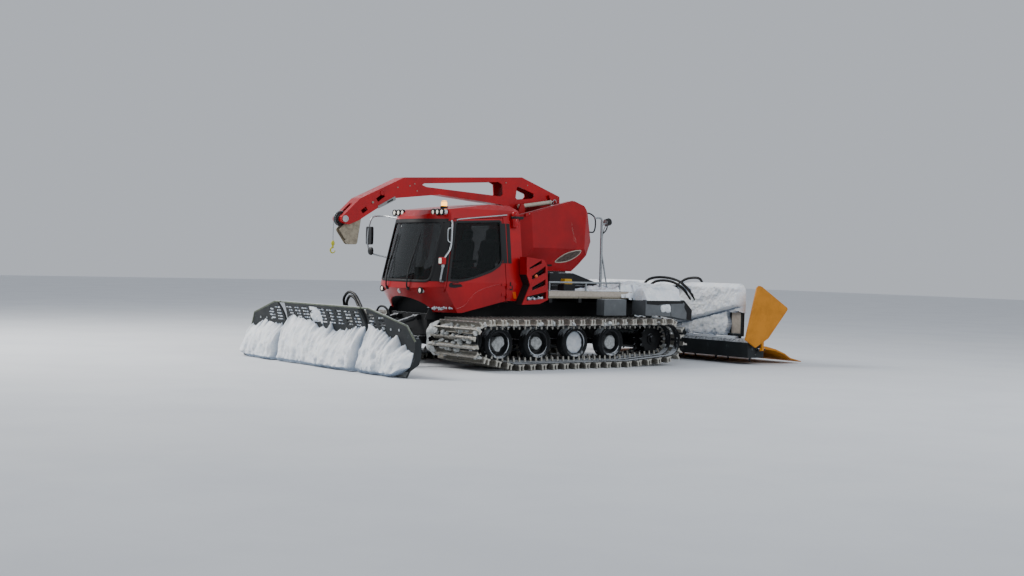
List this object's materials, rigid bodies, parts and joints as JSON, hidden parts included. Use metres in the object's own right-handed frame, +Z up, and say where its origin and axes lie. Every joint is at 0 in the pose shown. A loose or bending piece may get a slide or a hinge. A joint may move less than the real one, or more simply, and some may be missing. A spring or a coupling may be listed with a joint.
{
  "type": "snow groomer",
  "caption": "Tracked snow groomer with a folding front blade, a slewing winch boom over the cab and a lifting rear tiller with side wings.",
  "frame": {"origin": "on the ground under the middle of the machine's length and width", "axes": "+X forward, +Y to the machine's left, +Z up"},
  "size_m": [9.43, 5.368, 3.39],
  "materials": {
    "black_steel": "satin",
    "engine_iron": "rough",
    "tyre_rubber": "matt",
    "rim_paint": "satin",
    "belt_rubber": "matt",
    "shoe_aluminium": "scratched",
    "red_paint": "gloss",
    "dark_red_paint": "satin",
    "window_glass": "clear, green tint",
    "cab_plastic": "matt",
    "seat_fabric": "woven",
    "lamp_lens": "gloss",
    "mirror_black": "matt",
    "deck_metal": "worn",
    "galvanised": "dull zinc",
    "grey_panel": "matt",
    "sheave_iron": "worn",
    "cylinder_paint": "satin",
    "rod_chrome": "polished",
    "tool_steel": "worn satin",
    "yellow_plate": "worn"
  },
  "bodies": {
    "root": {"chassis_tub": "black_steel", "body_frame": "black_steel", "axles": "black_steel", "sprockets": "black_steel", "slewing_base": "black_steel", "engine_block": "engine_iron", "wheel_tyres": "tyre_rubber", "wheel_rims": "rim_paint", "belts_left": "belt_rubber", "belts_right": "belt_rubber", "shoes_left": "shoe_aluminium", "shoes_right": "shoe_aluminium", "cab_frame": "red_paint", "cab_roof": "red_paint", "louvre_pods": "red_paint", "windscreen": "window_glass", "rear_window": "window_glass", "cab_console": "cab_plastic", "cab_seats": "seat_fabric", "roof_lamps": "lamp_lens", "mirrors": "mirror_black", "deck": "deck_metal", "deck_rails": "galvanised", "light_mast": "galvanised", "rear_side_boxes": "grey_panel"},
    "door_left": {"door_left": "red_paint", "door_glass_left": "window_glass"},
    "door_right": {"door_right": "red_paint", "door_glass_right": "window_glass"},
    "turret": {"winch_housing": "dark_red_paint"},
    "boom": {"boom": "red_paint"},
    "sheave": {"rope_sheave": "sheave_iron"},
    "boom_barrels": {"boom_barrels": "cylinder_paint"},
    "boom_rods": {"boom_rods": "rod_chrome"},
    "push_frame": {"push_frame": "tool_steel"},
    "blade_yoke": {"blade_yoke": "tool_steel"},
    "blade": {"blade_middle": "tool_steel"},
    "wing_left": {"blade_wing_left": "tool_steel"},
    "wing_right": {"blade_wing_right": "tool_steel"},
    "blade_barrels": {"blade_barrels": "cylinder_paint"},
    "blade_rods": {"blade_rods": "rod_chrome"},
    "tiller": {"lift_frame": "tool_steel", "tiller_housing": "tool_steel", "snow_screen": "tool_steel", "finishing_comb": "yellow_plate"},
    "tiller_rotor": {"tiller_rotor": "tool_steel"},
    "side_wing_left": {"side_wing_left": "yellow_plate"},
    "side_wing_right": {"side_wing_right": "yellow_plate"},
    "lift_barrels": {"lift_barrels": "cylinder_paint"},
    "lift_rods": {"lift_rods": "rod_chrome"}
  },
  "joints": [
    {"name": "door_left_swing", "type": "hinge", "parent": "root", "child": "door_left", "pos_m": [1.53, 1.02, 1.3], "axis": [0, 0, 1], "range_deg": [0, 80]},
    {"name": "door_right_swing", "type": "hinge", "parent": "root", "child": "door_right", "pos_m": [1.53, -1.02, 1.3], "axis": [0, 0, -1], "range_deg": [0, 80]},
    {"name": "turret_slew", "type": "hinge", "parent": "root", "child": "turret", "pos_m": [0, 0, 1.68], "axis": [0, 0, 1], "continuous": true},
    {"name": "boom_raise", "type": "hinge", "parent": "turret", "child": "boom", "pos_m": [0.7, 0, 2.6], "axis": [0, -1, 0], "range_deg": [0, 20]},
    {"name": "sheave_spin", "type": "hinge", "parent": "boom", "child": "sheave", "pos_m": [4.33, 0, 2.48], "axis": [0, 1, 0], "continuous": true},
    {"name": "boom_barrels_swing", "type": "hinge", "parent": "turret", "child": "boom_barrels", "pos_m": [0.68, 0, 2.85], "axis": [0, -1, 0], "range_deg": [-1, 22]},
    {"name": "boom_rods_stroke", "type": "slide", "parent": "boom_barrels", "child": "boom_rods", "axis": [-0.9889, 0, 0.1483], "range_m": [-0.005, 0.095]},
    {"name": "blade_lift", "type": "hinge", "parent": "root", "child": "push_frame", "pos_m": [2.99, 0, 0.45], "axis": [0, -1, 0], "range_deg": [-5, 28]},
    {"name": "blade_swing", "type": "hinge", "parent": "push_frame", "child": "blade_yoke", "pos_m": [4.13, 0, 0.433], "axis": [0, 0, 1], "range_deg": [-20, 20]},
    {"name": "blade_tilt", "type": "hinge", "parent": "blade_yoke", "child": "blade", "pos_m": [4.34, 0, 0.433], "axis": [1, 0, 0], "range_deg": [-8, 8]},
    {"name": "wing_left_fold", "type": "hinge", "parent": "blade", "child": "wing_left", "pos_m": [4.552, 1.332, 0.5], "axis": [0, 0, -1], "range_deg": [-15, 75]},
    {"name": "wing_right_fold", "type": "hinge", "parent": "blade", "child": "wing_right", "pos_m": [4.552, -1.332, 0.5], "axis": [0, 0, 1], "range_deg": [-15, 75]},
    {"name": "blade_barrels_swing", "type": "hinge", "parent": "root", "child": "blade_barrels", "pos_m": [2.955, 0, 0.83], "axis": [0, -1, 0], "range_deg": [-6, 28]},
    {"name": "blade_rods_stroke", "type": "slide", "parent": "blade_barrels", "child": "blade_rods", "axis": [0.9615, 0, -0.2747], "range_m": [-0.19, 0.035]},
    {"name": "tiller_lift", "type": "hinge", "parent": "root", "child": "tiller", "pos_m": [-2.015, 0, 0.64], "axis": [0, 1, 0], "range_deg": [-5, 35]},
    {"name": "tiller_spin", "type": "hinge", "parent": "tiller", "child": "tiller_rotor", "pos_m": [-3.39, 0, 0.23], "axis": [0, 1, 0], "continuous": true},
    {"name": "side_wing_left_fold", "type": "hinge", "parent": "tiller", "child": "side_wing_left", "pos_m": [-3.5, 2.42, 0.29], "axis": [-1, 0, 0], "range_deg": [0, 90]},
    {"name": "side_wing_right_fold", "type": "hinge", "parent": "tiller", "child": "side_wing_right", "pos_m": [-3.5, -2.42, 0.29], "axis": [1, 0, 0], "range_deg": [0, 90]},
    {"name": "lift_barrels_swing", "type": "hinge", "parent": "root", "child": "lift_barrels", "pos_m": [-2.015, 0, 1], "axis": [0, 1, 0], "range_deg": [-6, 37]},
    {"name": "lift_rods_stroke", "type": "slide", "parent": "lift_barrels", "child": "lift_rods", "axis": [-0.9651, 0, -0.2617], "range_m": [-0.225, 0.035]}
  ],
  "couplings": [
    {"joint": "boom_barrels_swing", "follows": "boom_raise", "ratio": 1.025},
    {"joint": "boom_rods_stroke", "follows": "boom_raise", "m_per_rad": 0.249},
    {"joint": "blade_barrels_swing", "follows": "blade_lift", "ratio": 0.925},
    {"joint": "blade_rods_stroke", "follows": "blade_lift", "m_per_rad": -0.371},
    {"joint": "lift_barrels_swing", "follows": "tiller_lift", "ratio": 0.995},
    {"joint": "lift_rods_stroke", "follows": "tiller_lift", "m_per_rad": -0.355}
  ]
}
